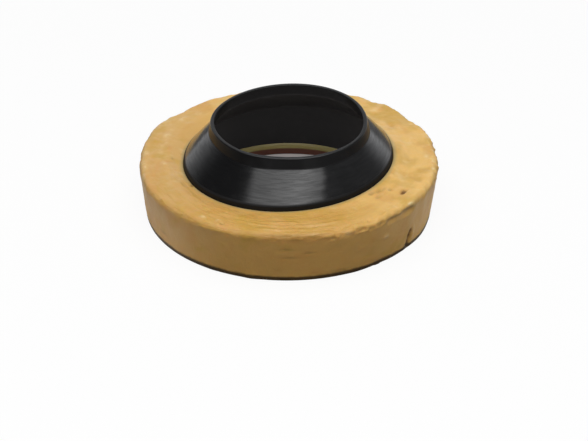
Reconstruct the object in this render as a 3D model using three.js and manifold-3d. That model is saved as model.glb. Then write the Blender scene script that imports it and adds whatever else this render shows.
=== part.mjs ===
// Toilet wax ring with a plastic horn, lying on its moulded face with the horn up.
// Soft petroleum wax is poured into a tray round a tapered core, over the flange of a
// polyethylene horn. Once it has set, the wax holds the flange and the two stay together.
// Millimetres, +Z up, origin on the axis in the moulded face. Azimuth 0 is +X and 90 is +Y.

import * as THREE from "three";
import { mergeVertices } from "three/addons/utils/BufferGeometryUtils.js";
import Module from "manifold-3d";

// The core that shapes the bore, through the wax and up inside the horn's skirt
const BORE_RADIUS = 47.5; // at the moulded face
const CORE_TAPER = 0.104; // narrowing for each millimetre of height

// Wax ring
const WAX_WIDTH = 19.5; // from the bore's edge at the moulded face to the poured edge
const WAX_THICKNESS = 25;
const TRAY_DRAFT = 3.7; // how much the outside narrows down to the moulded face
const POURED_EDGE_ROUND = 3;
const MOULDED_EDGE_ROUND = 1.3;
const BORE_EDGE_ROUND = 2.2;
const TILTED_FACE_WIDTH = 8; // round the horn, where the poured face follows the horn's tilt
const UNEVEN_RIM_WIDTH = 7.5; // at the poured edge. Between the two the poured face is level.

// Swells and sags that setting left in the rim of the poured face
const RIM_WAVES = [
  { azimuth: 178, spread: 5, out: -0.5, up: -0.2 },
  { azimuth: 152, spread: 7, out: 1.1, up: 0.2 },
  { azimuth: 137, spread: 5, out: -0.9, up: -0.2 },
  { azimuth: 120, spread: 5, out: 0.5, up: 0.2 },
  { azimuth: 64, spread: 5, out: 0.4, up: 0.2 },
  { azimuth: 48, spread: 5, out: 0.8, up: 0.2 },
  { azimuth: 35, spread: 6, out: -0.9, up: -0.3 },
  { azimuth: 21, spread: 6, out: 0.5, up: 0.2 },
  { azimuth: 6, spread: 5, out: -0.8, up: -0.2 },
  { azimuth: -12, spread: 7, out: 0.5, up: 0.2 },
  { azimuth: -40, spread: 6, out: 0.4, up: 0.4 },
  { azimuth: -64, spread: 13, out: 0.3, up: -1.3 },
  { azimuth: -98, spread: 10, out: 0.3, up: 0.2 },
  { azimuth: -148, spread: 7, out: -0.3, up: -0.7 },
];

// Pockmarks in the poured face, where air came out: distance in from the edge and half sizes
const POCKMARKS = [
  { azimuth: -34.6, inFromEdge: 6.6, out: 1, along: 1.8, deep: 1.4 },
  { azimuth: -36, inFromEdge: 15.8, out: 1.2, along: 2.2, deep: 0.6 },
  { azimuth: -43.3, inFromEdge: 16.7, out: 0.9, along: 2, deep: 0.5 },
  { azimuth: -42.4, inFromEdge: 13.6, out: 1, along: 2.4, deep: 0.5 },
];

// A gash low in the side, from handling: height of its middle and half sizes
const GASH = { azimuth: -34.9, height: 5.8, lean: 8, in: 1.1, along: 0.7, up: 3.8 };

// Horn
const HORN_TILT = 2.4; // degrees, its +X side up: it set askew in the wax
const WALL = 1.8;
const NECK_RADIUS = 35; // outside, at the rim
const NECK_LENGTH = 4.6;
const NECK_DRAFT = 0.9;
const CONE_HEIGHT = 12;
const SKIRT_ABOVE_WAX = 1.9;
const FLANGE_WIDTH = 10; // from the core to its edge
const FLANGE_HEIGHT = 5.6; // underside, above the moulded face
const RIM_ROUND = 0.6;
const NECK_ROUND = 1.2;
const CONE_FOOT_ROUND = 0.6;
const FLANGE_ROOT_ROUND = 1.2;
const FLANGE_EDGE_ROUND = 0.5;

const WAX_TO_HORN_GAP = 0.3;
const TURN_STEPS = 80;
const SIDE_STEPS = 3; // bands up the side, so that it can follow the uneven rim
const FACE_STEPS = 3; // bands across the tilted part of the poured face
const ROUND_STEP = Math.PI / 6; // most that one facet of a round turns

const WAX_COLOUR = 0xd2a766;
const HORN_COLOUR = 0x17171a;

const { clamp, degToRad, euclideanModulo, radToDeg, smoothstep } = THREE.MathUtils;
const wasm = await Module();
wasm.setup();

function solidOf(geometry) {
  const bare = geometry.clone();
  bare.deleteAttribute("normal");
  bare.deleteAttribute("uv");
  const merged = mergeVertices(bare, 1e-3);
  const vertProperties = merged.attributes.position.array;
  const triVerts = new Uint32Array(merged.index.array);
  return new wasm.Manifold(new wasm.Mesh({ numProp: 3, vertProperties, triVerts }));
}

function geometryOf(solid) {
  const mesh = solid.getMesh();
  const geometry = new THREE.BufferGeometry();
  geometry.setAttribute("position", new THREE.BufferAttribute(mesh.vertProperties, 3));
  geometry.setIndex(new THREE.BufferAttribute(mesh.triVerts, 1));
  geometry.computeVertexNormals();
  return geometry;
}

// A corner of a section. Without a round it stays sharp.
function corner(radius, height, round = 0) {
  return { at: new THREE.Vector2(radius, height), round };
}

// The facets of one rounded corner, between the walls from `before` and to `after`
function roundPoints(before, { at, round }, after) {
  const back = before.clone().sub(at).normalize();
  const on = after.clone().sub(at).normalize();
  const halfAngle = Math.acos(clamp(back.dot(on), -1, 1)) / 2;
  const toCentre = back.clone().add(on).setLength(round / Math.sin(halfAngle));
  const centre = at.clone().add(toCentre);
  const start = back.setLength(round / Math.tan(halfAngle)).sub(toCentre);
  const end = on.setLength(round / Math.tan(halfAngle)).sub(toCentre);
  const turn = Math.atan2(start.cross(end), start.dot(end));
  const steps = Math.max(2, Math.ceil(Math.abs(turn) / ROUND_STEP));
  return Array.from({ length: steps + 1 }, (_, k) => {
    return start.clone().rotateAround(new THREE.Vector2(), (turn * k) / steps).add(centre);
  });
}

// A section of [radius, height] corners, turned about the upright axis
function turned(corners) {
  const outline = corners.flatMap((each, i) => {
    const before = corners.at(i - 1).at;
    const after = corners[(i + 1) % corners.length].at;
    return each.round > 0 ? roundPoints(before, each, after) : [each.at.clone()];
  });
  return new THREE.LatheGeometry([...outline, outline[0].clone()], TURN_STEPS).rotateX(Math.PI / 2);
}

// Where the inner faces of two walls of one thickness meet. The walls run up, inside on their left.
function innerCorner(before, { at, round }, after) {
  const along = at.clone().sub(before.at).normalize();
  const bisector = after.at.clone().sub(at).normalize().add(along).normalize();
  const inwards = new THREE.Vector2(-bisector.y, bisector.x);
  const { x, y } = at.clone().addScaledVector(inwards, WALL / bisector.dot(along));
  return corner(x, y, round);
}

const coneFootHeight = WAX_THICKNESS + SKIRT_ABOVE_WAX;
const neckFootHeight = coneFootHeight + CONE_HEIGHT;
const rimHeight = neckFootHeight + NECK_LENGTH;
const flangeTop = FLANGE_HEIGHT + WALL;
const coreRadius = (height) => BORE_RADIUS - CORE_TAPER * height;
const skirtRadius = (height) => coreRadius(height) + WALL;
const flangeRadius = coreRadius(FLANGE_HEIGHT) + FLANGE_WIDTH;
const pouredRadius = BORE_RADIUS + WAX_WIDTH;
const mouldedRadius = pouredRadius - TRAY_DRAFT;
const sideRadius = (height) => mouldedRadius + (TRAY_DRAFT * height) / WAX_THICKNESS;
const lipRadius = skirtRadius(WAX_THICKNESS) + WAX_TO_HORN_GAP;
const tiltedFaceRadius = lipRadius + TILTED_FACE_WIDTH;
const levelRadius = pouredRadius - UNEVEN_RIM_WIDTH;

// From upright to askew, about the middle of the poured face
const askew = new THREE.Matrix4()
  .makeTranslation(0, 0, WAX_THICKNESS)
  .multiply(new THREE.Matrix4().makeRotationY(degToRad(-HORN_TILT)))
  .multiply(new THREE.Matrix4().makeTranslation(0, 0, -WAX_THICKNESS));

// The horn, upright
function hornGeometry() {
  const skirtRoot = corner(skirtRadius(flangeTop), flangeTop, FLANGE_ROOT_ROUND);
  const coneFoot = corner(skirtRadius(coneFootHeight), coneFootHeight, CONE_FOOT_ROUND);
  const neckFoot = corner(NECK_RADIUS + NECK_DRAFT, neckFootHeight, NECK_ROUND);
  const rim = corner(NECK_RADIUS, rimHeight, RIM_ROUND);
  return turned([
    corner(coreRadius(FLANGE_HEIGHT), FLANGE_HEIGHT, FLANGE_EDGE_ROUND),
    corner(flangeRadius, FLANGE_HEIGHT, FLANGE_EDGE_ROUND),
    corner(flangeRadius, flangeTop, FLANGE_EDGE_ROUND),
    skirtRoot,
    coneFoot,
    neckFoot,
    rim,
    corner(NECK_RADIUS - WALL, rimHeight, RIM_ROUND),
    innerCorner(coneFoot, neckFoot, rim),
    innerCorner(skirtRoot, coneFoot, neckFoot),
  ]);
}

// The room in the wax for the upright horn, and the bore inside it
function hornRoomGeometry() {
  const floor = FLANGE_HEIGHT - WAX_TO_HORN_GAP;
  const ledge = flangeTop + WAX_TO_HORN_GAP;
  const edgeRadius = flangeRadius + WAX_TO_HORN_GAP;
  return turned([
    corner(NECK_RADIUS, floor),
    corner(edgeRadius, floor),
    corner(edgeRadius, ledge),
    corner(skirtRadius(ledge) + WAX_TO_HORN_GAP, ledge, FLANGE_ROOT_ROUND),
    corner(skirtRadius(rimHeight) + WAX_TO_HORN_GAP, rimHeight),
    corner(NECK_RADIUS, rimHeight),
  ]);
}

// How far setting moved a point of the wax, outwards and up. The rim swells and sags, and the side
// below it less and less. Round the horn, the poured face follows the horn's tilt.
function settling(azimuth, radius, height) {
  const share = smoothstep(height, 0, WAX_THICKNESS);
  const byTheHorn = share * (1 - smoothstep(radius, lipRadius, tiltedFaceRadius));
  const atTheRim = share * smoothstep(radius, levelRadius, mouldedRadius);
  const x = radius * Math.cos(degToRad(azimuth));
  const moved = { out: 0, up: byTheHorn * x * Math.tan(degToRad(HORN_TILT)) };
  for (const wave of RIM_WAVES) {
    const away = euclideanModulo(azimuth - wave.azimuth + 180, 360) - 180;
    const strength = atTheRim * Math.exp(-((away / wave.spread) ** 2));
    moved.out += wave.out * strength;
    moved.up += wave.up * strength;
  }
  return moved;
}

function settled(geometry) {
  const positions = geometry.attributes.position;
  const vertex = new THREE.Vector3();
  for (let i = 0; i < positions.count; i++) {
    vertex.fromBufferAttribute(positions, i);
    const radius = Math.hypot(vertex.x, vertex.y);
    const azimuth = radToDeg(Math.atan2(vertex.y, vertex.x));
    const { out, up } = settling(azimuth, radius, vertex.z);
    const outwards = 1 + out / radius;
    positions.setXYZ(i, vertex.x * outwards, vertex.y * outwards, vertex.z + up);
  }
  return geometry;
}

// A ball stretched to half sizes along the radius, along the edge and up, to cut a hollow with
function hollow(azimuth, radius, height, out, along, up, lean = 0) {
  return new THREE.SphereGeometry(1, 14, 8)
    .scale(out, along, up)
    .rotateX(degToRad(-lean))
    .translate(radius, 0, height)
    .rotateZ(degToRad(azimuth));
}

function waxGeometry() {
  const sideRings = Array.from({ length: SIDE_STEPS - 1 }, (_, k) => {
    const height = (WAX_THICKNESS * (k + 1)) / SIDE_STEPS;
    return corner(sideRadius(height), height);
  });
  const faceRings = Array.from({ length: FACE_STEPS + 1 }, (_, k) => {
    return corner(tiltedFaceRadius - (TILTED_FACE_WIDTH * k) / FACE_STEPS, WAX_THICKNESS);
  });
  const ring = settled(
    turned([
      corner(BORE_RADIUS, 0, BORE_EDGE_ROUND),
      corner(mouldedRadius, 0, MOULDED_EDGE_ROUND),
      ...sideRings,
      corner(pouredRadius, WAX_THICKNESS, POURED_EDGE_ROUND),
      corner(levelRadius, WAX_THICKNESS),
      ...faceRings,
      corner(coreRadius(WAX_THICKNESS), WAX_THICKNESS),
    ]),
  );
  const cutters = POCKMARKS.map(({ azimuth, inFromEdge, out, along, deep }) => {
    const radius = pouredRadius - inFromEdge;
    const height = WAX_THICKNESS + settling(azimuth, radius, WAX_THICKNESS).up;
    return hollow(azimuth, radius, height, out, along, deep);
  });
  const { azimuth, height, lean, in: inwards, along, up } = GASH;
  cutters.push(hollow(azimuth, sideRadius(height), height, inwards, along, up, lean));
  cutters.push(hornRoomGeometry().applyMatrix4(askew));
  return geometryOf(cutters.reduce((wax, cutter) => wax.subtract(solidOf(cutter)), solidOf(ring)));
}

const waxRing = new THREE.Mesh(
  waxGeometry(),
  new THREE.MeshStandardMaterial({ color: WAX_COLOUR, roughness: 0.55, metalness: 0 }),
);
waxRing.name = "wax_ring";

const horn = new THREE.Mesh(
  hornGeometry(),
  new THREE.MeshStandardMaterial({ color: HORN_COLOUR, roughness: 0.35, metalness: 0 }),
);
horn.name = "horn";
horn.applyMatrix4(askew);

const assembly = new THREE.Group();
assembly.add(waxRing, horn);

export default assembly;
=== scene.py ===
"""A toilet wax ring with its plastic horn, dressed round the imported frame."""

import math

import bmesh
import bpy
from mathutils import Euler, Matrix, Vector


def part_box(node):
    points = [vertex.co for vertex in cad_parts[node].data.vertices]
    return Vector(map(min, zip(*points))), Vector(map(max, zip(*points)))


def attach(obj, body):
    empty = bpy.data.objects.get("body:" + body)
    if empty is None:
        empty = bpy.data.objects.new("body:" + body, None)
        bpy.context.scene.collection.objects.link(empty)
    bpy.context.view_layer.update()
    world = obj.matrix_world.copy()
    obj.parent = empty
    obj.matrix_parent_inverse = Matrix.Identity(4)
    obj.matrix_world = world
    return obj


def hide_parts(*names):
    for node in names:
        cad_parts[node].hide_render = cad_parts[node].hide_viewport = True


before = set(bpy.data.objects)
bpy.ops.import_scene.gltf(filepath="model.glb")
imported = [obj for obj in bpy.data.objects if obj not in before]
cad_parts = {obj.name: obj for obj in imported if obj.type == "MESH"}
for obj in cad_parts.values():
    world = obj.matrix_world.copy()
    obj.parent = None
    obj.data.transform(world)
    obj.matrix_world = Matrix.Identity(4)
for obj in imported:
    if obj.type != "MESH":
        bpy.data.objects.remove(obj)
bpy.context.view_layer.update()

# Horn
# A short funnel of black polyethylene, moulded in one shot: a neck that enters the drain, a cone,
# and a skirt with a thin flange, which the wax was poured over. It set a little askew in the wax,
# with its right side up.
MM = 0.001
FLANGE_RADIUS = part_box("horn")[1].y
FLANGE_UNDERSIDE = 5.6 * MM
POURED_FACE = 25 * MM  # height of the wax's poured face, about whose middle the horn tilts
SKIRT_ABOVE_WAX = 1.9 * MM
CONE_HEIGHT = 12 * MM
CONE_CROWN = 0.1 * MM  # how much the cone swells between its two ends
NECK_LENGTH = 4.6 * MM
NECK_RADIUS = 34.9 * MM
NECK_DRAFT = 0.9 * MM
NECK_SHIFT = Vector((0.3, 0, 0.15)) * MM  # of the neck from the cone's axis, as it was moulded
# Where the soft neck has gone out of round: azimuth and spread in degrees, and how far it stands
# out at its foot and at its rim, in mm
NECK_WAVES = [
    (-150, 34, -2.1, -2.1),
    (-107, 26, 0, -1.3),
    (-92, 24, -0.8, -0.8),
    (-66, 19, 1.0, 0),
    (-33, 32, 1.9, 1.9),
]
HORN_WALL = 1.8 * MM
HORN_TILT = math.radians(2.4)
FULL_TILT_HEIGHT = 20 * MM  # the flange lies level, and from here up the horn tilts fully
CORE_RADIUS = 47.5 * MM  # of the tapered core that shaped the bore, level with the moulded face
CORE_TAPER = 0.104  # narrowing for each metre of height
# Rounds of the section's corners
FLANGE_LIP_ROUND = 0.3 * MM
FLANGE_ROUND = 0.5 * MM
SKIRT_ROOT_ROUND = 1.2 * MM
CONE_FOOT_ROUND = 0.7 * MM
NECK_FOOT_ROUND = 1 * MM
RIM_ROUND = 0.5 * MM
RIM_INNER_ROUND = 0.4 * MM
INNER_ROUND = 2.5 * MM
CROWN_SHARE = 0.7  # of the cone's length that its crown's arc takes
HORN_ROUND_SEGMENTS = 6
HORN_TURN_STEPS = 192
SAME_PLACE = 0.01 * MM  # two corners closer than this are one
SEAM_GAP = 0.002 * MM  # points of a turned skin closer than this are merged

HORN_BLACK = (0.0052, 0.0053, 0.0058)
HORN_WORN = (0.011, 0.011, 0.012)
HORN_IOR = 1.51
HORN_SPECULAR = 0.25
HORN_COAT_ROUGHNESS = 0.18
HORN_GRAIN_DEPTH = 0.1 * MM

flange_top = FLANGE_UNDERSIDE + HORN_WALL
cone_foot = POURED_FACE + SKIRT_ABOVE_WAX
neck_foot = cone_foot + CONE_HEIGHT
rim_height = neck_foot + NECK_LENGTH


def core_radius(height):
    """The bore's radius at a height, by the taper of its core."""
    return CORE_RADIUS - CORE_TAPER * height


def smooth(value, low, high):
    """A smooth step from 0 at low to 1 at high."""
    share = min(max((value - low) / (high - low), 0.0), 1.0)
    return share * share * (3 - 2 * share)


def unevenness(azimuth, spread):
    """A bump in a ring's outline, 1 at its middle, by the azimuth in degrees."""
    return lambda degrees: math.exp(-((((degrees - azimuth + 180) % 360 - 180) / spread) ** 2))


def turned_place(vertex):
    """The vertex's azimuth in degrees, and its distance from the upright axis and height in mm."""
    x, y, z = vertex.co / MM
    return math.degrees(math.atan2(y, x)), math.hypot(x, y), z


def inner_corner(before, at, after):
    """Where the inner faces of two walls meet. The walls run up, with the inside on their left."""
    along = (at - before).normalized()
    bisector = ((after - at).normalized() + along).normalized()
    inwards = Vector((-bisector.y, bisector.x))
    return at + inwards * HORN_WALL / bisector.dot(along)


def select_vertices(piece, wanted):
    """Selects, in edit mode, what a test on a vertex's place picks."""
    shape = bmesh.from_edit_mesh(piece.data)
    for vertex in shape.verts:
        vertex.select = wanted(vertex.co)
    shape.select_flush_mode()
    bmesh.update_edit_mesh(piece.data)


def draw_section(name, corners, round_segments):
    """A closed wire through (radius, height, round) corners in the XZ plane, left in edit mode."""
    bpy.ops.object.select_all(action="DESELECT")
    bpy.ops.mesh.primitive_plane_add(size=MM)
    piece = bpy.context.object
    piece.name = name
    bpy.ops.object.mode_set(mode="EDIT")
    bpy.ops.mesh.select_mode(type="VERT")
    bpy.ops.mesh.merge(type="CENTER")
    places = [Vector((radius, 0, height)) for radius, height, _ in corners]
    bpy.ops.transform.translate(value=places[0])
    for before, place in zip(places, places[1:]):
        bpy.ops.mesh.extrude_vertices_move(TRANSFORM_OT_translate={"value": place - before})
    ends = (places[0], places[-1])
    select_vertices(piece, lambda co: any((co - end).length < SAME_PLACE for end in ends))
    bpy.ops.mesh.edge_face_add()
    for i, (_, _, round_radius) in enumerate(corners):
        if not round_radius:
            continue
        place = places[i]
        back = places[i - 1] - place
        on = places[(i + 1) % len(places)] - place
        offset = round_radius / math.tan(back.angle(on) / 2)
        select_vertices(piece, lambda co: (co - place).length < SAME_PLACE)
        bpy.ops.mesh.bevel(
            offset=offset, segments=round_segments, affect="VERTICES", clamp_overlap=False
        )
    return piece


def turn_section(piece, steps):
    """Turns the wire about the upright axis into a closed skin."""
    bpy.ops.mesh.select_all(action="SELECT")
    bpy.ops.mesh.spin(steps=steps, angle=2 * math.pi, center=(0, 0, 0), axis=(0, 0, 1))
    bpy.ops.mesh.select_all(action="SELECT")
    bpy.ops.mesh.remove_doubles(threshold=SEAM_GAP)
    bpy.ops.mesh.normals_make_consistent(inside=False)


def tilt_vertex(vertex):
    """Tilts a place in or on the horn as the horn is tilted, with its +X side up."""
    share = smooth(vertex.co.z, flange_top, FULL_TILT_HEIGHT)
    pivot = Vector((0, 0, POURED_FACE))
    vertex.co = pivot + Matrix.Rotation(-HORN_TILT * share, 3, "Y") @ (vertex.co - pivot)


def leave_edit_mode():
    bpy.ops.object.mode_set(mode="OBJECT")
    bpy.ops.object.shade_smooth()


def apply_modifier(piece, kind, **settings):
    """Adds a modifier with these settings, and applies it."""
    modifier = piece.modifiers.new(kind.title(), kind)
    for setting, value in settings.items():
        setattr(modifier, setting, value)
    bpy.context.view_layer.objects.active = piece
    bpy.ops.object.modifier_apply(modifier=modifier.name)


class Nodes:
    """Adds and joins the nodes of one tree."""

    def __init__(self, tree):
        self.tree = tree

    def add(self, kind, settings=None, **sockets):
        """Adds a node with its settings, and joins or sets its sockets."""
        node = self.tree.nodes.new(kind)
        for setting, value in (settings or {}).items():
            setattr(node, setting, value)
        for name, value in sockets.items():
            self.put(node, name.replace("_", " "), value)
        return node

    def put(self, node, name, value):
        """Joins an output to a socket, or sets its value. A number as name picks by position."""
        socket = node.inputs[int(name)] if name.isdigit() else node.inputs[name]
        if isinstance(value, bpy.types.NodeSocket):
            self.tree.links.new(value, socket)
        else:
            socket.default_value = value

    def math(self, operation, *values):
        node = self.add("ShaderNodeMath", {"operation": operation})
        for number, value in enumerate(values):
            self.put(node, str(number), value)
        return node.outputs[0]

    def radius(self, place):
        """The place's distance from the upright axis, and its height."""
        x, y, z = self.add("ShaderNodeSeparateXYZ", Vector=place).outputs
        squares = self.math("ADD", self.math("MULTIPLY", x, x), self.math("MULTIPLY", y, y))
        return self.math("SQRT", squares), z

    def moved(self, place, x, y, z):
        """The same pattern from another spot."""
        mapping = self.add("ShaderNodeMapping", Vector=place)
        mapping.inputs["Location"].default_value = (x, y, z)
        return mapping.outputs[0]

    def noise(self, place, scale, detail=2.0, roughness=0.5, distortion=0.0):
        node = self.add("ShaderNodeTexNoise", Vector=place, Scale=scale, Detail=detail)
        self.put(node, "Roughness", roughness)
        self.put(node, "Distortion", distortion)
        return node.outputs["Fac"]

    def between(self, value, low, high, to_low=0.0, to_high=1.0):
        """A smooth step of the value from low to high."""
        node = self.add("ShaderNodeMapRange", {"interpolation_type": "SMOOTHSTEP"})
        for name, number in (
            ("Value", value),
            ("From Min", low),
            ("From Max", high),
            ("To Min", to_low),
            ("To Max", to_high),
        ):
            self.put(node, name, number)
        return node.outputs["Result"]

    def blend(self, share, first, second):
        """A colour between two, by a share."""
        node = self.add("ShaderNodeMix", {"data_type": "RGBA"})
        self.put(node, "0", share)
        for number, value in ((6, first), (7, second)):
            if not isinstance(value, bpy.types.NodeSocket) and len(value) == 3:
                value = (*value, 1.0)
            self.put(node, str(number), value)
        return node.outputs[2]


def new_material(name):
    """An empty material, and its tree to fill."""
    material = bpy.data.materials.new(name)
    material.use_nodes = True
    material.node_tree.nodes.clear()
    return material, Nodes(material.node_tree)


def finish_material(nodes, colour, roughness, normal, ior):
    """A Principled surface with these sockets, joined to the output."""
    surface = nodes.add("ShaderNodeBsdfPrincipled", Base_Color=colour, Roughness=roughness)
    nodes.put(surface, "Normal", normal)
    nodes.put(surface, "IOR", ior)
    nodes.add("ShaderNodeOutputMaterial", Surface=surface.outputs[0])
    return surface


def effect_group(name, inputs, outputs):
    """A node group with named inputs of (kind, value), and float or vector outputs."""
    group = bpy.data.node_groups.new(name, "ShaderNodeTree")
    for socket_name, (kind, value) in inputs.items():
        socket = group.interface.new_socket(socket_name, in_out="INPUT", socket_type=kind)
        if value is not None:
            socket.default_value = value
    for socket_name, kind in outputs.items():
        group.interface.new_socket(socket_name, in_out="OUTPUT", socket_type=kind)
    nodes = Nodes(group)
    return group, nodes, nodes.add("NodeGroupInput").outputs, nodes.add("NodeGroupOutput")


def handling_group():
    """Fine grain and rubbed spots, as a soft or smooth piece picks up on a shelf."""
    group, nodes, given, result = effect_group(
        "handling",
        {
            "Vector": ("NodeSocketVector", None),
            "Grain Scale": ("NodeSocketFloat", 900.0),
            "Rub Scale": ("NodeSocketFloat", 90.0),
            "Rub Amount": ("NodeSocketFloat", 0.5),
        },
        {"Grain": "NodeSocketFloat", "Rubbed": "NodeSocketFloat"},
    )
    nodes.put(result, "Grain", nodes.noise(given["Vector"], given["Grain Scale"], detail=4.0))
    rubs = nodes.noise(given["Vector"], given["Rub Scale"], detail=5.0, roughness=0.6, distortion=0.4)
    rubbed = nodes.math("MULTIPLY", nodes.between(rubs, 0.48, 0.72), given["Rub Amount"])
    nodes.put(result, "Rubbed", rubbed)
    return group


def round_lines_group():
    """Lines that run round the upright axis, as flow lines and drag marks do."""
    group, nodes, given, result = effect_group(
        "round_lines",
        {
            "Vector": ("NodeSocketVector", None),
            "Scale": ("NodeSocketFloat", 900.0),
            "Turn": ("NodeSocketFloat", 0.004),
        },
        {"Lines": "NodeSocketFloat"},
    )
    radius, height = nodes.radius(given["Vector"])
    x, y, _ = nodes.add("ShaderNodeSeparateXYZ", Vector=given["Vector"]).outputs
    turn = nodes.math("MULTIPLY", nodes.math("ARCTAN2", y, x), given["Turn"])
    place = nodes.add("ShaderNodeCombineXYZ", X=radius, Y=turn, Z=height).outputs[0]
    nodes.put(result, "Lines", nodes.noise(place, given["Scale"], detail=3.0, roughness=0.6))
    return group


handling = handling_group()
round_lines = round_lines_group()


def horn_material():
    material, nodes = new_material("black polyethylene")
    place = nodes.add("ShaderNodeTexCoord").outputs["Object"]
    marks = nodes.add(
        "ShaderNodeGroup", {"node_tree": handling}, Vector=place, Grain_Scale=1500.0,
        Rub_Scale=110.0, Rub_Amount=0.5,
    )
    lines = nodes.add(
        "ShaderNodeGroup", {"node_tree": round_lines}, Vector=place, Scale=1500.0, Turn=0.003
    ).outputs["Lines"]
    rubbed, grain = marks.outputs["Rubbed"], marks.outputs["Grain"]
    radius, height = nodes.radius(place)
    # The cone's foot carries a film of wax
    greasy = nodes.between(radius, 45.5 * MM, 46.3 * MM)
    greasy = nodes.math("MULTIPLY", greasy, nodes.between(height, 21 * MM, 22 * MM))
    # The inside, where the surface faces the axis, came duller from its core
    facing = nodes.add("ShaderNodeVectorMath", {"operation": "DOT_PRODUCT"})
    outwards = nodes.add("ShaderNodeVectorMath", {"operation": "MULTIPLY"})
    nodes.put(outwards, "0", place)
    nodes.put(outwards, "1", (1, 1, 0))
    nodes.put(facing, "0", outwards.outputs[0])
    nodes.put(facing, "1", nodes.add("ShaderNodeTexCoord").outputs["Normal"])
    inside = nodes.between(facing.outputs["Value"], -8 * MM, 8 * MM, 1.0, 0.0)
    # So is the neck, less so at its rim, by the height along the tilted axis
    x, _, _ = nodes.add("ShaderNodeSeparateXYZ", Vector=place).outputs
    level = nodes.math("MULTIPLY_ADD", x, -math.tan(HORN_TILT), height)
    on_neck = nodes.between(level, neck_foot - 0.4 * MM, neck_foot + 0.4 * MM)
    below_rim = nodes.between(level, rim_height - 0.9 * MM, rim_height - 0.4 * MM, 1.0, 0.5)
    on_neck = nodes.math("MULTIPLY", on_neck, below_rim)
    dull = nodes.math("MAXIMUM", greasy, nodes.math("MULTIPLY", on_neck, 0.8))
    dull = nodes.math("MAXIMUM", dull, nodes.math("MULTIPLY", inside, 0.75))
    colour = nodes.blend(rubbed, HORN_BLACK, HORN_WORN)
    roughness = nodes.math("MULTIPLY_ADD", rubbed, 0.1, 0.18)
    roughness = nodes.math("MULTIPLY_ADD", dull, 0.3, roughness)
    roughness = nodes.math("MULTIPLY_ADD", greasy, 0.2, roughness)
    # Flow lines break up the shine
    shine = nodes.between(lines, 0.38, 0.62, 0.42, 0.78)
    shine = nodes.math("MULTIPLY", shine, nodes.math("SUBTRACT", 1.0, dull))
    relief = nodes.math("ADD", nodes.math("MULTIPLY", lines, 0.7), nodes.math("MULTIPLY", grain, 0.3))
    bump = nodes.add("ShaderNodeBump", Strength=0.12, Distance=HORN_GRAIN_DEPTH, Height=relief)
    surface = finish_material(nodes, colour, roughness, bump.outputs[0], HORN_IOR)
    nodes.put(surface, "Coat Weight", shine)
    nodes.put(surface, "Coat Normal", bump.outputs[0])
    surface.inputs["Coat Roughness"].default_value = HORN_COAT_ROUGHNESS
    surface.inputs["Specular IOR Level"].default_value = HORN_SPECULAR
    return material


skirt_root = Vector((core_radius(flange_top) + HORN_WALL, flange_top))
skirt_top = Vector((core_radius(cone_foot) + HORN_WALL, cone_foot))
cone_top = Vector((NECK_RADIUS + NECK_DRAFT, neck_foot))
outer_rim = Vector((NECK_RADIUS, rim_height))
cone_slope = (cone_top - skirt_top).normalized()
cone_middle = (skirt_top + cone_top) / 2 + Vector((cone_slope.y, -cone_slope.x)) * CONE_CROWN
crown_round = (cone_top - skirt_top).length ** 2 / (8 * CONE_CROWN)
inner_cone_top = inner_corner(skirt_top, cone_top, outer_rim)
inner_cone_foot = inner_corner(skirt_root, skirt_top, cone_top)

horn = draw_section(
    "black_horn",
    [
        (core_radius(FLANGE_UNDERSIDE), FLANGE_UNDERSIDE, FLANGE_LIP_ROUND),
        (FLANGE_RADIUS, FLANGE_UNDERSIDE, FLANGE_ROUND),
        (FLANGE_RADIUS, flange_top, FLANGE_ROUND),
        (*skirt_root, SKIRT_ROOT_ROUND),
        (*skirt_top, CONE_FOOT_ROUND),
        (*cone_middle, crown_round * CROWN_SHARE),
        (*cone_top, NECK_FOOT_ROUND),
        (*outer_rim, RIM_ROUND),
        (NECK_RADIUS - HORN_WALL, rim_height, RIM_INNER_ROUND),
        (*inner_cone_top, INNER_ROUND),
        (*inner_cone_foot, INNER_ROUND),
    ],
    HORN_ROUND_SEGMENTS,
)
turn_section(horn, HORN_TURN_STEPS)
leave_edit_mode()
neck_waves = [(unevenness(azimuth, spread), foot, rim) for azimuth, spread, foot, rim in NECK_WAVES]
for vertex in horn.data.vertices:
    up_cone = min(max((vertex.co.z - cone_foot) / CONE_HEIGHT, 0.0), 1.0)
    up_neck = min(max((vertex.co.z - neck_foot) / NECK_LENGTH, 0.0), 1.0)
    degrees, radius, _ = turned_place(vertex)
    out = sum(wave(degrees) * (foot + (rim - foot) * up_neck) for wave, foot, rim in neck_waves)
    tilt_vertex(vertex)
    outwards = Vector((vertex.co.x, vertex.co.y, 0)) * out / radius
    vertex.co += (NECK_SHIFT + outwards) * up_cone
apply_modifier(horn, "WEIGHTED_NORMAL", keep_sharp=False)
horn.data.materials.append(horn_material())
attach(horn, "root")
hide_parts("horn")

# Wax ring
# Soft tan petroleum wax, poured warm into a tray round the core and over the horn's flange. The
# tray gave it a smooth tapered side and foot, and the poured face set unevenly, with blobs, drag
# lines and pits.
POURED_RADIUS = 67 * MM
MOULDED_RADIUS = 63.7 * MM
LEVEL_RADIUS = 59.5 * MM  # where the rim's swells and sags begin
POURED_ROUND = 3 * MM
MOULDED_ROUND = 0.5 * MM
BORE_FOOT_ROUND = 0.4 * MM
CREEP_ROUND = 0.8 * MM
LIP_ROUND = 0.4 * MM
SKIRT_FILLET = 1.2 * MM  # of the wax round the root of the horn's skirt
FOLLOWING_WIDTH = 8 * MM  # round the horn, where the poured face follows the horn's tilt
WAX_TO_HORN = 0.05 * MM
CREEP = 0.9 * MM  # how far the wax crept under the edge of the core, at the foot of the bore
CREEP_HEIGHT = 2.6 * MM
WAX_ROUND_SEGMENTS = 8
WAX_TURN_STEPS = 600
LONGEST_EDGE = 0.65 * MM  # in the side and the poured face, which carry the fine shape
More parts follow.
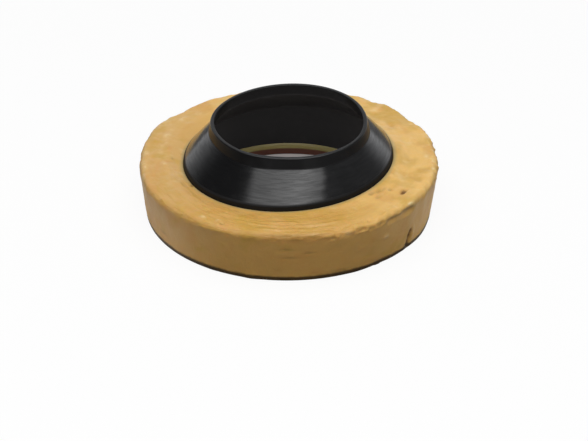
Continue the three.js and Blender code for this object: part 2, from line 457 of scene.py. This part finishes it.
FINE_SIDE_RADIUS = 61.5 * MM
FINE_FACE_RADIUS = 47 * MM

# Swells and sags that setting left in the rim: azimuth and spread in degrees, out and up in mm
RIM_WAVES = [
    (178, 5, -0.5, -0.2),
    (165, 3, 0.2, 0.2),
    (153, 7, 1.1, 0.1),
    (137, 5, -0.9, -0.2),
    (135, 3, 0.4, 0.1),
    (130, 3, -0.3, 0),
    (121, 8, -0.35, -0.1),
    (112, 2, -0.5, -0.1),
    (98, 6, -0.5, 0),
    (71, 3, 0.9, 0.2),
    (63, 5, -0.4, -0.1),
    (52, 4, -1.2, 0),
    (48, 5, 0.8, 0.2),
    (38, 3, 0.4, 0.1),
    (34, 6, -0.7, -0.3),
    (21, 6, 0.5, 0.2),
    (14, 3, 0.4, 0.1),
    (6, 4, -0.4, 0),
    (-12, 7, 0.5, 0.2),
    (-26, 2, 0.3, -0.3),
    (-36, 3, 0.5, 0.5),
    (-45, 3, -0.2, 0.3),
    (-56, 5, 0.2, -1.0),
    (-70, 7, 0.3, -1.0),
    (-83, 4, 0.2, -0.3),
    (-98, 10, 0.3, 0.2),
    (-119, 3, 0.2, 0.3),
    (-148, 7, -0.3, -0.7),
    (-160, 3, 0.2, 0.2),
    (-170, 5, -0.5, 0),
]

# Lumps and hollows: azimuth in degrees; radius, height, sizes along the edge and across it, and
# how far the wax stands out, in mm
LUMPS = [
    (-31.4, 59.0, 25, 2.0, 0.9, -1.7),
    (-31.2, 61.0, 25, 2.4, 0.8, 0.4),
    (-42.8, 49.5, 26.2, 1.7, 0.9, -0.9),
    (-38.5, 50.4, 26, 1.6, 0.6, -0.7),
    (-35.3, 51.0, 25.9, 1.6, 0.6, -0.7),
    (-33.3, 53.2, 25.2, 1.0, 0.7, -0.8),
    (-41.9, 52.8, 25.3, 1.7, 0.8, -0.8),
    (-37, 52.6, 25.4, 2.2, 0.9, 0.4),
    (-36.7, 66.6, 24.5, 2.8, 0.7, 1.0),
    (-39, 67, 21.5, 4.5, 1.4, -1.2),
    (-47, 66.8, 21.4, 3.0, 1.2, -0.9),
    (-57, 65.8, 22.8, 2.0, 0.8, 0.8),
    (-63, 66, 22.0, 1.8, 0.7, -0.8),
    (-76, 66, 22.6, 2.4, 0.7, 0.6),
    (-73, 66, 21.4, 2.6, 0.6, -0.6),
    (-88, 66, 23, 3.0, 0.6, 0.4),
    (-126, 63, 25, 1.1, 0.6, 0.9),
    (-119, 62, 25, 1.0, 0.6, 0.7),
    (-117, 63.6, 25, 0.9, 0.6, -0.5),
    (-67, 66.0, 22.5, 1.5, 0.6, 0.7),
    (-70, 66.0, 22.5, 1.6, 0.5, -0.4),
    (-81, 65.6, 24, 2.0, 0.5, 0.4),
    (-104, 65.3, 24.0, 4.0, 0.5, -0.3),
    (-97, 65.2, 24.4, 6.0, 0.5, 0.35),
    (-89, 65.9, 23.7, 5.0, 0.5, -0.35),
    (-78, 65.8, 23.9, 4.0, 0.5, 0.4),
    (-66, 66.2, 23.1, 3.0, 0.6, 0.6),
    (-61, 66.5, 22.4, 2.0, 0.6, -0.5),
    (-60, 65.6, 22.5, 2.2, 0.6, -0.5),
    (-52, 66.4, 22.5, 2.5, 0.7, -0.6),
    (160, 58.3, 25, 2.4, 1.6, 0.6),
    (165, 62, 25, 2.0, 1.2, 0.6),
    (170, 54.5, 25, 2.2, 1.3, 0.4),
    (-175, 55.5, 25, 1.8, 1.2, 0.5),
    (-180, 60, 25, 2.5, 1.0, -0.4),
    (-170, 61, 25, 3.0, 1.0, 0.4),
    (144, 59.5, 25, 2.0, 1.2, 0.5),
    (31, 54.5, 25, 2.5, 1.4, -0.5),
    (-148, 64.9, 24.5, 1.8, 0.9, 0.6),
    (-50, 65.6, 14, 1.6, 1.0, 0.4),
    (-122, 63.2, 0.8, 2.6, 0.6, 0.4),
    (-25, 63.8, 1.0, 9.0, 3.0, 0.45),
    (-105, 63.8, 1.0, 3.0, 1.5, 0.35),
    (-52, 63.8, 1.0, 4.0, 2.0, -0.3),
    (-63, 63.2, 0.8, 4.0, 0.6, 0.6),
    (-91, 65.7, 17, 3.2, 0.5, -0.35),
    (-90, 65.1, 12.6, 3.5, 0.5, -0.3),
    (-82, 65.6, 15, 2.2, 0.5, -0.25),
    (-34.3, 65.0, 8.7, 1.0, 1.3, -1.1),
    (-34.9, 64.7, 6.6, 1.2, 1.4, -1.5),
    (-35.2, 64.4, 4.4, 1.1, 1.4, -1.5),
    (-35.7, 64.0, 2.2, 1.2, 1.3, -1.3),
    (-32.8, 64.8, 7.0, 0.9, 3.0, 0.6),
]

# Rings that a scraper dragged in the poured face while it set: azimuth and radius of the middle,
# half the arc in degrees, and how far the wax stands up, in mm
DRAG_WIDTH = 0.55
DRAG_WANDER = 0.35
DRAG_WANDERS = 7  # for each turn
DRAG_FLOOR = POURED_FACE - 3 * MM
DRAG_INNER_RADIUS = 50 * MM
DRAG_RINGS = [
    (-92, 62.3, 26, 0.30),
    (-88, 60.6, 22, -0.22),
    (-90, 59.2, 30, 0.22),
    (-84, 57.9, 18, -0.18),
    (-95, 56.4, 28, 0.16),
    (-60, 61.0, 14, 0.25),
    (-50, 58.0, 12, -0.2),
]


def subdivide_wire(piece, longest, wanted):
    """Cuts the wire's longer edges into steps, where both ends pass the test."""
    bpy.ops.mesh.select_mode(type="EDGE")
    shape = bmesh.from_edit_mesh(piece.data)
    edges = [edge for edge in shape.edges if all(wanted(vertex.co) for vertex in edge.verts)]
    places = [
        (edge.verts[0].co.copy(), edge.verts[1].co.copy())
        for edge in edges
        if edge.calc_length() > longest
    ]
    for first, second in places:
        shape = bmesh.from_edit_mesh(piece.data)
        for edge in shape.edges:
            ends = {tuple(vertex.co) for vertex in edge.verts}
            edge.select = ends == {tuple(first), tuple(second)}
        bmesh.update_edit_mesh(piece.data)
        cuts = math.ceil((first - second).length / longest) - 1
        bpy.ops.mesh.subdivide(number_cuts=cuts)
    bpy.ops.mesh.select_mode(type="VERT")


def from_axis(co):
    """A place's distance from the upright axis."""
    return math.hypot(co.x, co.y)


def azimuth_of(co):
    """A place's azimuth in degrees."""
    return math.degrees(math.atan2(co.y, co.x))


def takes_fine_shape(co):
    on_face = co.z > POURED_FACE - 1 * MM
    return co.x > FINE_SIDE_RADIUS or (on_face and co.x > FINE_FACE_RADIUS)


pocket_top = flange_top + WAX_TO_HORN
pocket_floor = FLANGE_UNDERSIDE - WAX_TO_HORN
pocket_radius = FLANGE_RADIUS + WAX_TO_HORN
lip_radius = core_radius(POURED_FACE) + HORN_WALL + WAX_TO_HORN
wax = draw_section(
    "tan_wax_ring",
    [
        (core_radius(0) - CREEP, 0, BORE_FOOT_ROUND),
        (MOULDED_RADIUS, 0, MOULDED_ROUND),
        (POURED_RADIUS, POURED_FACE, POURED_ROUND),
        (lip_radius, POURED_FACE, LIP_ROUND),
        (core_radius(pocket_top) + HORN_WALL + WAX_TO_HORN, pocket_top, SKIRT_FILLET),
        (pocket_radius, pocket_top, 0),
        (pocket_radius, pocket_floor, 0),
        (core_radius(pocket_floor), pocket_floor, 0),
        (core_radius(CREEP_HEIGHT), CREEP_HEIGHT, CREEP_ROUND),
    ],
    WAX_ROUND_SEGMENTS,
)
subdivide_wire(wax, LONGEST_EDGE, takes_fine_shape)
turn_section(wax, WAX_TURN_STEPS)
leave_edit_mode()

waves = [(unevenness(azimuth, spread), out, up) for azimuth, spread, out, up in RIM_WAVES]
rings = [(unevenness(azimuth, arc), radius, depth) for azimuth, radius, arc, depth in DRAG_RINGS]
face_underside = POURED_FACE - 0.6 * MM  # what lies above it belongs to the poured face
pocket_reach = pocket_radius + 0.1 * MM


def follow_horn(vertex):
    """Tilts the wax that touches the horn, and lifts the poured face round it to match."""
    radius = from_axis(vertex.co)
    if vertex.co.z >= face_underside:
        following = 1 - smooth(radius, lip_radius, lip_radius + FOLLOWING_WIDTH)
        vertex.co.z += following * vertex.co.x * math.tan(HORN_TILT)
    elif radius < pocket_reach:
        tilt_vertex(vertex)


def swell_rim(vertex, degrees, radius):
    reach = smooth(radius, LEVEL_RADIUS, MOULDED_RADIUS) * smooth(vertex.co.z, 0, POURED_FACE)
    if reach:
        out = sum(wave(degrees) * out for wave, out, _ in waves) * reach * MM
        up = sum(wave(degrees) * up for wave, _, up in waves) * reach * MM
        vertex.co.x *= 1 + out / radius
        vertex.co.y *= 1 + out / radius
        vertex.co.z += up


def drag_face(vertex, degrees, radius):
    if vertex.co.z > DRAG_FLOOR and radius > DRAG_INNER_RADIUS:
        wander = DRAG_WANDER * math.sin(math.radians(DRAG_WANDERS * degrees))
        from_middle = radius / MM - wander
        vertex.co.z += MM * sum(
            ring(degrees) * depth * math.exp(-(((from_middle - ring_radius) / DRAG_WIDTH) ** 2))
            for ring, ring_radius, depth in rings
        )


for vertex in wax.data.vertices:
    follow_horn(vertex)
    degrees = azimuth_of(vertex.co)
    radius = from_axis(vertex.co)
    swell_rim(vertex, degrees, radius)
    drag_face(vertex, degrees, radius)

# How much each part of the skin takes of the small dents and lumps that follow
poured = wax.vertex_groups.new(name="poured")
side = wax.vertex_groups.new(name="side")
ragged = wax.vertex_groups.new(name="ragged")
torn_right = unevenness(8, 34)
torn_front = unevenness(-62, 22)
for vertex in wax.data.vertices:
    degrees = azimuth_of(vertex.co)
    radius = from_axis(vertex.co)
    face = smooth(vertex.co.z, 19 * MM, 24 * MM) * smooth(radius, 46.9 * MM, 50 * MM)
    low_side = smooth(radius, 60 * MM, 63 * MM) * smooth(vertex.co.z, 0.3 * MM, 4 * MM)
    at_edge = smooth(radius, 61 * MM, 64.5 * MM) * smooth(vertex.co.z, 19.5 * MM, 22.5 * MM)
    torn = 0.12 + 0.88 * min(torn_right(degrees) + 0.7 * torn_front(degrees), 1)
    poured.add([vertex.index], face, "REPLACE")
    side.add([vertex.index], low_side, "REPLACE")
    ragged.add([vertex.index], at_edge * torn, "REPLACE")


def clouds(name, size, depth=2):
    """A lumpy pattern with features of this size."""
    texture = bpy.data.textures.new(name, "CLOUDS")
    texture.noise_scale = size
    texture.noise_depth = depth
    return texture


for texture, strength, group in (
    (clouds("slow swells", 11 * MM), 0.8 * MM, "poured"),
    (clouds("small lumps", 3 * MM, 3), 0.6 * MM, "poured"),
    (clouds("side dents", 9 * MM, 3), 0.4 * MM, "side"),
    (clouds("torn edge", 1.9 * MM), 1.8 * MM, "ragged"),
):
    apply_modifier(
        wax, "DISPLACE", texture=texture, texture_coords="LOCAL", mid_level=0.5, strength=strength,
        vertex_group=group,
    )


MARK_REACH_TURN = 30  # how far round from a mark anything changes, in degrees
MARK_REACH = 7  # and how far in all, as the squared distance in the mark's own sizes
SEEN_RADIUS = 62  # mm from the axis, past which a place is on the side
SEEN_HEIGHT = 20  # mm up, above which it is on the poured face


def nearness(place, mark):
    """1 at a mark on the wax, fading along the edge and across it."""
    degrees, radius, height = place
    azimuth, mark_radius, mark_height, along, across = mark[:5]
    turn = (degrees - azimuth + 180) % 360 - 180
    if abs(turn) > MARK_REACH_TURN:
        return 0.0
    far_along = math.radians(turn) * mark_radius / along
    far_across = math.hypot(radius - mark_radius, height - mark_height) / across
    away = far_along * far_along + far_across * far_across
    return math.exp(-away) if away < MARK_REACH else 0.0


def seen_places():
    """The vertices of the poured face and the side, each with its turned place."""
    places = [(vertex, turned_place(vertex)) for vertex in wax.data.vertices]
    return [
        (vertex, place)
        for vertex, place in places
        if place[1] > SEEN_RADIUS or place[2] > SEEN_HEIGHT
    ]


outside = seen_places()
for lump in LUMPS:
    for vertex, place in outside:
        share = nearness(place, lump)
        if share:
            vertex.co += vertex.normal * lump[5] * share * MM
            vertex.co.z = max(vertex.co.z, 0)

# Marks in the wax's colour, partly painted highlight and shade: azimuth, radius, height and sizes as for
# the lumps, and the amount
# Pale crumbs of wax, and painted highlights on lumps, the pit's rim and the sliver's raised edge
PALE_AND_HIGHLIGHT_MARKS = [
    (-126, 63, 25, 1.3, 0.8, 0.9),
    (-119, 62, 25, 1.2, 0.8, 0.7),
    (-36.7, 66.7, 24.6, 2.8, 0.8, 1.3),
    (-67, 66.2, 22.5, 1.5, 0.8, 0.8),
    (-81, 65.5, 24, 2.2, 0.6, 0.6),
    (-95, 63.3, 25, 5.0, 0.5, 0.4),
    (-78, 60, 25, 9.0, 0.5, 0.3),
    (-100, 59.5, 25, 7.0, 0.5, 0.3),
    (-72, 62.5, 25, 4.0, 0.5, 0.35),
    (-50, 65.6, 14, 1.5, 1.0, 0.5),
    (-31.4, 60.9, 25, 2.2, 0.7, 0.4),
    (-37.2, 52.4, 25.5, 1.8, 0.7, 0.4),
    (0, 61.5, 25, 1.5, 0.9, 0.6),
    (-3, 64.5, 25, 1.6, 0.8, 0.8),
    (-9, 65, 24.5, 1.8, 0.8, 0.8),
    (-14, 65, 24.5, 1.6, 0.8, 0.7),
    (-20, 65.5, 24, 2.2, 0.7, 0.5),
    (5, 65, 24.5, 2.0, 0.8, 0.5),
    (175, 63.8, 25, 1.6, 1.2, 0.6),
    (-173, 63.8, 25, 2.0, 1.0, 0.55),
    (160, 58.2, 25, 2.0, 1.4, 0.55),
    (144, 59.3, 25, 2.0, 1.2, 0.6),
    (135, 57.5, 25, 1.8, 1.2, 0.5),
    (-175, 55.5, 25, 1.8, 1.2, 0.5),
    (-32.6, 64.6, 7.0, 0.8, 3.0, 0.6),
]
ORANGE_MARKS = [
    (-108, 54, 25, 7.0, 2.2, 0.8),
    (-98, 51.5, 25, 6.0, 1.5, 0.5),
    (-73, 53, 25, 8.0, 1.6, 0.6),
    (-52, 56, 25, 5.0, 1.6, 0.5),
    (-31.6, 59.0, 25, 3.2, 2.0, 0.9),
    (-30, 54, 25, 5.0, 1.5, 0.4),
    (165, 62, 25, 3.0, 1.5, 0.7),
    (170, 54.3, 25, 2.5, 1.5, 0.7),
    (-178, 60.5, 25, 4.0, 1.5, 0.5),
    (-162, 61, 25, 4.0, 1.6, 0.5),
    (31, 54.7, 25, 3.5, 2.0, 0.7),
    (24, 58, 25, 3.5, 1.6, 0.5),
    (-138, 64, 24, 6.0, 1.2, 0.5),
    (-88, 66.4, 22.6, 18.0, 1.8, 0.85),
    (-35, 64.2, 6, 2.4, 4.0, 0.9),
]
# Painted shade: dark marks in the pit, the crack and other hollows, under the overhangs and at the foot
SHADE_MARKS = [
    (-31.4, 59.0, 24.1, 1.5, 0.9, 2.0),
    (-42.8, 49.5, 25.9, 1.6, 0.8, 0.6),
    (-38.5, 50.4, 25.7, 1.6, 0.6, 0.45),
    (-35.3, 51.0, 25.6, 1.6, 0.6, 0.45),
    (-33.3, 53.2, 25, 1.0, 0.7, 0.5),
    (-41.9, 52.8, 25.1, 1.6, 0.7, 0.45),
    (-39, 66.6, 22.4, 4.6, 0.9, 0.65),
    (-47, 66.4, 22.2, 3.0, 0.8, 0.5),
    (-88, 66.0, 23.4, 15.0, 1.4, 0.28),
    (-63, 66, 21.8, 1.8, 0.7, 0.5),
    (-73, 66, 21.3, 2.4, 0.6, 0.5),
    (-117, 63.8, 25, 0.9, 0.6, 0.6),
    (179, 51.8, 24.2, 0.8, 0.6, 0.35),
    (-153, 47.6, 23.2, 0.8, 0.8, 1.0),
    (-91, 65.7, 17, 3.2, 0.5, 0.45),
    (-90, 65.1, 12.6, 3.5, 0.5, 0.4),
    (-82, 65.6, 15, 2.2, 0.5, 0.3),
    (-70, 63.8, 3.4, 4.0, 0.7, 0.4),
    (-148, 64.3, 7, 2.5, 0.8, 0.3),
    (-53, 66, 21.8, 3.5, 0.8, 0.5),
    (-34.3, 64.4, 8.5, 0.9, 1.2, 1.3),
    (-35.0, 63.9, 6.0, 1.0, 1.5, 1.6),
    (-35.6, 63.5, 2.6, 1.1, 1.4, 1.6),
    (-122, 63.4, 0.8, 2.8, 0.9, 1.0),
    (-63, 63.4, 0.8, 4.2, 0.9, 1.0),
]

outside = seen_places()
for name, marks in (("pale", PALE_AND_HIGHLIGHT_MARKS), ("orange", ORANGE_MARKS), ("painted_shade", SHADE_MARKS)):
    paint = wax.data.attributes.new(name, "FLOAT", "POINT")
    for mark in marks:
        for vertex, place in outside:
            share = nearness(place, mark) * mark[5]
            if share:
                spot = paint.data[vertex.index]
                spot.value = min(spot.value + share, 1.0)

WAX_TAN = (0.69, 0.395, 0.11)
WAX_ORANGE = (0.67, 0.33, 0.085)
WAX_YELLOW = (0.60, 0.36, 0.055)
WAX_PAINTED_LIGHT = (0.86, 0.54, 0.175)  # painted light: the face is lighter at the right and the back, where it catches more light and sheen
WAX_DULL = (0.70, 0.44, 0.17)  # where it cooled first, at the left
WAX_PALE_AND_HIGHLIGHT = (0.90, 0.70, 0.38)
WAX_HALO = (0.36, 0.30, 0.15)
# Painted shade: the bore's dull olive, the dark brown at its foot, the dark marks and the dark foot of
# the side
WAX_BORE_SHADE = (0.275, 0.228, 0.082)
WAX_BORE_FOOT_SHADE = (0.085, 0.026, 0.014)
WAX_MARK_SHADE = (0.15, 0.068, 0.014)
WAX_FOOT_SHADE = (0.035, 0.021, 0.008)
WAX_IOR = 1.43
WAX_GRAIN_DEPTH = 0.7 * MM
SCATTER_DEPTH = 2 * MM  # how deep light sinks into the wax
SCATTER_COLOURS = (1.0, 0.5, 0.2)
HALO_FROM = 47 * MM  # radii of the thin wax on the horn, whose edge wavers
HALO_TO = 47.9 * MM
HALO_WAVER = 2.2 * MM
FOOT_SHADE_FROM = 1.5 * MM  # heights of the painted shade along the side's foot, whose top wavers
FOOT_SHADE_TO = 1.7 * MM
FOOT_SHADE_WAVER = 2.4 * MM


def wax_material():
    material, nodes = new_material("petroleum wax")
    place = nodes.add("ShaderNodeTexCoord").outputs["Object"]
    radius, height = nodes.radius(place)
    marks = nodes.add(
        "ShaderNodeGroup", {"node_tree": handling}, Vector=place, Grain_Scale=700.0,
        Rub_Scale=70.0, Rub_Amount=1.0,
    )
    drag = nodes.add(
        "ShaderNodeGroup", {"node_tree": round_lines}, Vector=place, Scale=420.0, Turn=0.012
    ).outputs["Lines"]
    painted = {
        name: nodes.add("ShaderNodeAttribute", {"attribute_name": name}).outputs["Fac"]
        for name in ("pale", "orange", "painted_shade")
    }
    # Patches of unlike wax
    orange = nodes.between(nodes.noise(place, 75.0, detail=3.0, distortion=0.3), 0.5, 0.68)
    orange = nodes.math("MAXIMUM", nodes.math("MULTIPLY", orange, 0.6), painted["orange"])
    yellow = nodes.noise(nodes.moved(place, 0.31, 0.17, 0.07), 60.0, detail=3.0, distortion=0.5)
    yellow = nodes.math("MULTIPLY", nodes.between(yellow, 0.5, 0.68), 0.8)
    # Where a place lies: on the poured face, and from -1 at the front to 1 at the back
    on_face = nodes.between(height, 21.5 * MM, 24 * MM)
    x, y, _ = nodes.add("ShaderNodeSeparateXYZ", Vector=place).outputs
    to_back = nodes.math("DIVIDE", nodes.math("MULTIPLY_ADD", x, 0.42, y), radius)
    # Pale crumbs, fewer at the front, and the pale marks, partly painted highlights on lumps and raised
    # edges
    pale = nodes.noise(nodes.moved(place, -0.2, 0.4, 0.15), 130.0, detail=4.0, distortion=0.2)
    pale = nodes.math("MULTIPLY", nodes.between(pale, 0.56, 0.72), nodes.math("MULTIPLY", on_face, 0.28))
    pale = nodes.math("MULTIPLY", pale, nodes.between(to_back, -0.95, -0.6, 0.25, 1.0))
    crumbly = nodes.between(nodes.noise(place, 420.0, detail=3.0), 0.36, 0.6, 0.3, 1.0)
    pale = nodes.math("MAXIMUM", pale, nodes.math("MULTIPLY", painted["pale"], crumbly))
    # The slow change of colour round the ring: painted light, lighter on the face at the right and the
    # back, and a duller tone at the left
    painted_light = nodes.between(to_back, -0.95, -0.4)
    to_right = nodes.between(nodes.math("MULTIPLY_ADD", y, 0.8, x), -40 * MM, 30 * MM, 0.32, 1.0)
    painted_light = nodes.math("MULTIPLY", painted_light, to_right)
    painted_light = nodes.math("MULTIPLY", painted_light, nodes.math("MAXIMUM", on_face, 0.3))
    colour = nodes.blend(painted_light, WAX_TAN, WAX_PAINTED_LIGHT)
    to_left = nodes.between(x, -60 * MM, -28 * MM, 0.6, 0.0)
    colour = nodes.blend(to_left, colour, WAX_DULL)
    colour = nodes.blend(nodes.math("MULTIPLY", orange, 0.8), colour, WAX_ORANGE)
    colour = nodes.blend(nodes.math("MULTIPLY", yellow, 0.7), colour, WAX_YELLOW)
    # Drag lines, strongest at the front
    dragged = nodes.math("MULTIPLY", nodes.between(drag, 0.42, 0.66), on_face)
    dragged = nodes.math("MULTIPLY", dragged, nodes.between(to_back, -0.9, -0.4, 1.0, 0.3))
    colour = nodes.blend(nodes.math("MULTIPLY", dragged, 0.4), colour, WAX_YELLOW)
    colour = nodes.blend(pale, colour, WAX_PALE_AND_HIGHLIGHT)
    # The thin, greenish wax that climbs the horn's foot
    halo_width = nodes.math("MULTIPLY_ADD", nodes.noise(place, 90.0), HALO_WAVER, HALO_TO)
    halo = nodes.between(radius, HALO_FROM, halo_width, 1.0, 0.0)
    halo = nodes.math("MULTIPLY", halo, nodes.between(height, 19 * MM, 22 * MM))
    colour = nodes.blend(nodes.math("MULTIPLY", halo, 0.65), colour, WAX_HALO)
    # Painted shade: a dull olive in the bore, dark marks in the hollows and under the overhangs, and dark
    # lines along the feet of the bore and the side
    # Painted shade: the bore is darkened to a dull olive
    in_bore = nodes.between(radius, 48.5 * MM, 49.8 * MM, 1.0, 0.0)
    in_bore = nodes.math("MULTIPLY", in_bore, nodes.between(height, 12 * MM, 14 * MM, 1.0, 0.0))
    colour = nodes.blend(in_bore, colour, WAX_BORE_SHADE)
    # Painted shade in the hollows and under the overhangs
    colour = nodes.blend(painted["painted_shade"], colour, WAX_MARK_SHADE)
    # Painted shade: a dark brown band at the foot of the bore
    bore_foot_shade = nodes.math("MULTIPLY", in_bore, nodes.between(height, 2.3 * MM, 3.2 * MM, 1.0, 0.0))
    colour = nodes.blend(bore_foot_shade, colour, WAX_BORE_FOOT_SHADE)
    # Painted shade: a dark line along the side's foot, where it meets the table
    foot_shade_top = nodes.math("MULTIPLY_ADD", nodes.noise(place, 260.0), FOOT_SHADE_WAVER, FOOT_SHADE_TO)
    foot = nodes.between(height, FOOT_SHADE_FROM, foot_shade_top, 1.0, 0.0)
    foot = nodes.math("MULTIPLY", foot, nodes.between(radius, 61.5 * MM, 62.5 * MM))
    colour = nodes.blend(nodes.math("MULTIPLY", foot, 0.92), colour, WAX_FOOT_SHADE)
    roughness = nodes.math("MULTIPLY_ADD", marks.outputs["Rubbed"], 0.15, 0.42)
    fine = nodes.noise(place, 260.0, detail=4.0, roughness=0.6)
    relief = nodes.math("MULTIPLY_ADD", marks.outputs["Grain"], 0.25, nodes.math("MULTIPLY", fine, 0.75))
    relief = nodes.math("MULTIPLY_ADD", dragged, 0.5, relief)
    bump = nodes.add("ShaderNodeBump", Strength=0.5, Distance=WAX_GRAIN_DEPTH, Height=relief)
    surface = finish_material(nodes, colour, roughness, bump.outputs[0], WAX_IOR)
    surface.inputs["Subsurface Weight"].default_value = 0.25
    surface.inputs["Subsurface Radius"].default_value = SCATTER_COLOURS
    surface.inputs["Subsurface Scale"].default_value = SCATTER_DEPTH
    return material


wax.data.materials.append(wax_material())
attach(wax, "root")
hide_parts("wax_ring")

# Stage
# A pale surface under a wide, soft light overhead that reaches forward over the camera. The
# camera sees it as plain white, with a trace of the shade at the ring's foot.
STAGE_RADIUS = 0.6
STAGE_GREY = (0.19, 0.19, 0.19)  # how much light it sends back to the ring's front
STAGE_PALE = (0.8, 0.8, 0.8)  # and to its ends and back
STAGE_IN_BORE = (0.65, 0.61, 0.6)
STAGE_WHITE = (0.9, 0.9, 0.9)
PLAIN_WHITE_SHARE = 0.92  # of the table past the ring's foot, as the camera sees it
ROOM_TINT = (0.97, 0.98, 1.0, 1.0)
ROOM_STRENGTH = 0.06
ROOM_STRENGTH_RIGHT = 0.24
ROOM_STRENGTH_BACK = 0.9  # added low at the back
SEEN_TINT = (1.0, 1.0, 1.0, 1.0)
LAMP_PLACE = (-0.065, -0.45, 0.9)
LAMP_SIZE = (1.31, 1.6)
LAMP_POWER = 13.5
HOT_SPOT = (0.55, 0.17)  # where the lamp is brightest, as shares of its width and length
HOT_SPOT_REACH = 0.38
HOT_SPOT_STRENGTH = 1.9
LAMP_STRENGTH = 0.92  # away from the hot spot
TABLE_DROP = 0.02 * MM  # below the wax, so that the two faces don't flicker

bpy.ops.object.select_all(action="DESELECT")
bpy.ops.mesh.primitive_circle_add(vertices=128, radius=STAGE_RADIUS, fill_type="NGON")
floor = bpy.context.object
floor.name = "white_table"
floor.location.z = -TABLE_DROP
bpy.ops.object.transform_apply(location=True)


def table_material():
    material, nodes = new_material("white table")
    place = nodes.add("ShaderNodeTexCoord").outputs["Object"]
    radius, _ = nodes.radius(place)
    seen = nodes.add("ShaderNodeLightPath").outputs["Is Camera Ray"]
    # Grey in front of the ring, and pale beside and behind it and in its bore
    x, y, _ = nodes.add("ShaderNodeSeparateXYZ", Vector=place).outputs
    sideways = nodes.math("DIVIDE", nodes.math("MULTIPLY_ADD", x, -0.12, y), radius)
    pale = nodes.between(sideways, -0.98, -0.3)
    pale = nodes.math("MULTIPLY", pale, nodes.between(radius, 85 * MM, 110 * MM, 1.0, 0.0))
    grey = nodes.blend(pale, STAGE_GREY, STAGE_PALE)
    # Painted shade: in the bore the camera sees the table greyer than the white around the ring
    in_bore = nodes.between(radius, 48 * MM, 52 * MM, 1.0, 0.0)
    grey = nodes.blend(in_bore, nodes.blend(seen, grey, STAGE_WHITE), STAGE_IN_BORE)
    # To the camera, plain white from the ring's foot outwards
    lit = nodes.add("ShaderNodeBsdfDiffuse", Color=grey)
    white = nodes.add("ShaderNodeEmission", Strength=1.0)
    past_the_ring = nodes.between(radius, 58 * MM, 63 * MM, 0.0, PLAIN_WHITE_SHARE)
    mix = nodes.add("ShaderNodeMixShader")
    nodes.put(mix, "0", nodes.math("MULTIPLY", past_the_ring, seen))
    nodes.put(mix, "1", lit.outputs[0])
    nodes.put(mix, "2", white.outputs[0])
    nodes.add("ShaderNodeOutputMaterial", Surface=mix.outputs[0])
    return material


floor.data.materials.append(table_material())

# A white room, which sends some light from the right, and more from the back and low down
world = bpy.data.worlds.new("white room")
bpy.context.scene.world = world
world.use_nodes = True
world.node_tree.nodes.clear()
room = Nodes(world.node_tree)
x, y, z = room.add(
    "ShaderNodeSeparateXYZ", Vector=room.add("ShaderNodeTexCoord").outputs["Generated"]
).outputs
to_the_right = room.between(x, 0.1, 0.8, ROOM_STRENGTH, ROOM_STRENGTH_RIGHT)
low_down = room.between(z, 0.3, 0.65, ROOM_STRENGTH_BACK, 0.0)
to_the_back = room.math("MULTIPLY", room.between(y, 0.35, 1.0), low_down)
around = room.add("ShaderNodeBackground", Strength=room.math("ADD", to_the_right, to_the_back))
seen = room.add("ShaderNodeBackground", Strength=1.0)
around.inputs["Color"].default_value = ROOM_TINT
seen.inputs["Color"].default_value = SEEN_TINT
mix = room.add("ShaderNodeMixShader")
room.put(mix, "0", room.add("ShaderNodeLightPath").outputs["Is Camera Ray"])
room.put(mix, "1", around.outputs[0])
room.put(mix, "2", seen.outputs[0])
room.add("ShaderNodeOutputWorld", Surface=mix.outputs[0])

bpy.ops.object.light_add(type="AREA", location=LAMP_PLACE)
lamp = bpy.context.object
lamp.name = "overhead_softbox"
lamp.data.shape = "RECTANGLE"
lamp.data.size, lamp.data.size_y = LAMP_SIZE
lamp.data.energy = LAMP_POWER
lamp.data.use_nodes = True
lamp.data.node_tree.nodes.clear()
glow = Nodes(lamp.data.node_tree)
u, v, _ = glow.add(
    "ShaderNodeSeparateXYZ", Vector=glow.add("ShaderNodeNewGeometry").outputs["Parametric"]
).outputs
across = glow.math("SUBTRACT", u, HOT_SPOT[0])
along = glow.math("SUBTRACT", v, HOT_SPOT[1])
from_spot = glow.math(
    "SQRT", glow.math("ADD", glow.math("MULTIPLY", across, across), glow.math("MULTIPLY", along, along))
)
strength = glow.between(from_spot, 0.0, HOT_SPOT_REACH, HOT_SPOT_STRENGTH, LAMP_STRENGTH)
glow.add(
    "ShaderNodeOutputLight", Surface=glow.add("ShaderNodeEmission", Strength=strength).outputs[0]
)

# Camera
# A camera with a long lens, 1.5 m off and 30 degrees above the table. It leans by half a degree,
# and its shift puts the point that it aims at where that point lies in the picture.
PICTURE_WIDTH = 588
PICTURE_HEIGHT = 441
AIM = Vector((0, 0, 20 * MM))
AIM_PIXEL = (288.2, 167.2)
CAMERA_DISTANCE = 1.5
CAMERA_ELEVATION = math.radians(30.1)
CAMERA_LEAN = math.radians(0.42)
PIXELS_PER_METRE = 2240
SENSOR_WIDTH = 36

camera_data = bpy.data.cameras.new("studio camera")
camera = bpy.data.objects.new("studio_camera", camera_data)
bpy.context.scene.collection.objects.link(camera)
towards = Vector((0, -math.cos(CAMERA_ELEVATION), math.sin(CAMERA_ELEVATION)))
turned = Euler((math.pi / 2 - CAMERA_ELEVATION, 0, 0)).to_matrix() @ Matrix.Rotation(-CAMERA_LEAN, 3, "Z")
camera.matrix_world = Matrix.Translation(AIM + towards * CAMERA_DISTANCE) @ turned.to_4x4()
camera_data.sensor_width = SENSOR_WIDTH
camera_data.lens = PIXELS_PER_METRE * CAMERA_DISTANCE / PICTURE_WIDTH * SENSOR_WIDTH
camera_data.shift_x = (PICTURE_WIDTH / 2 - AIM_PIXEL[0]) / PICTURE_WIDTH
camera_data.shift_y = (AIM_PIXEL[1] - PICTURE_HEIGHT / 2) / PICTURE_WIDTH
bpy.context.scene.camera = camera
bpy.context.scene.view_settings.view_transform = "Standard"
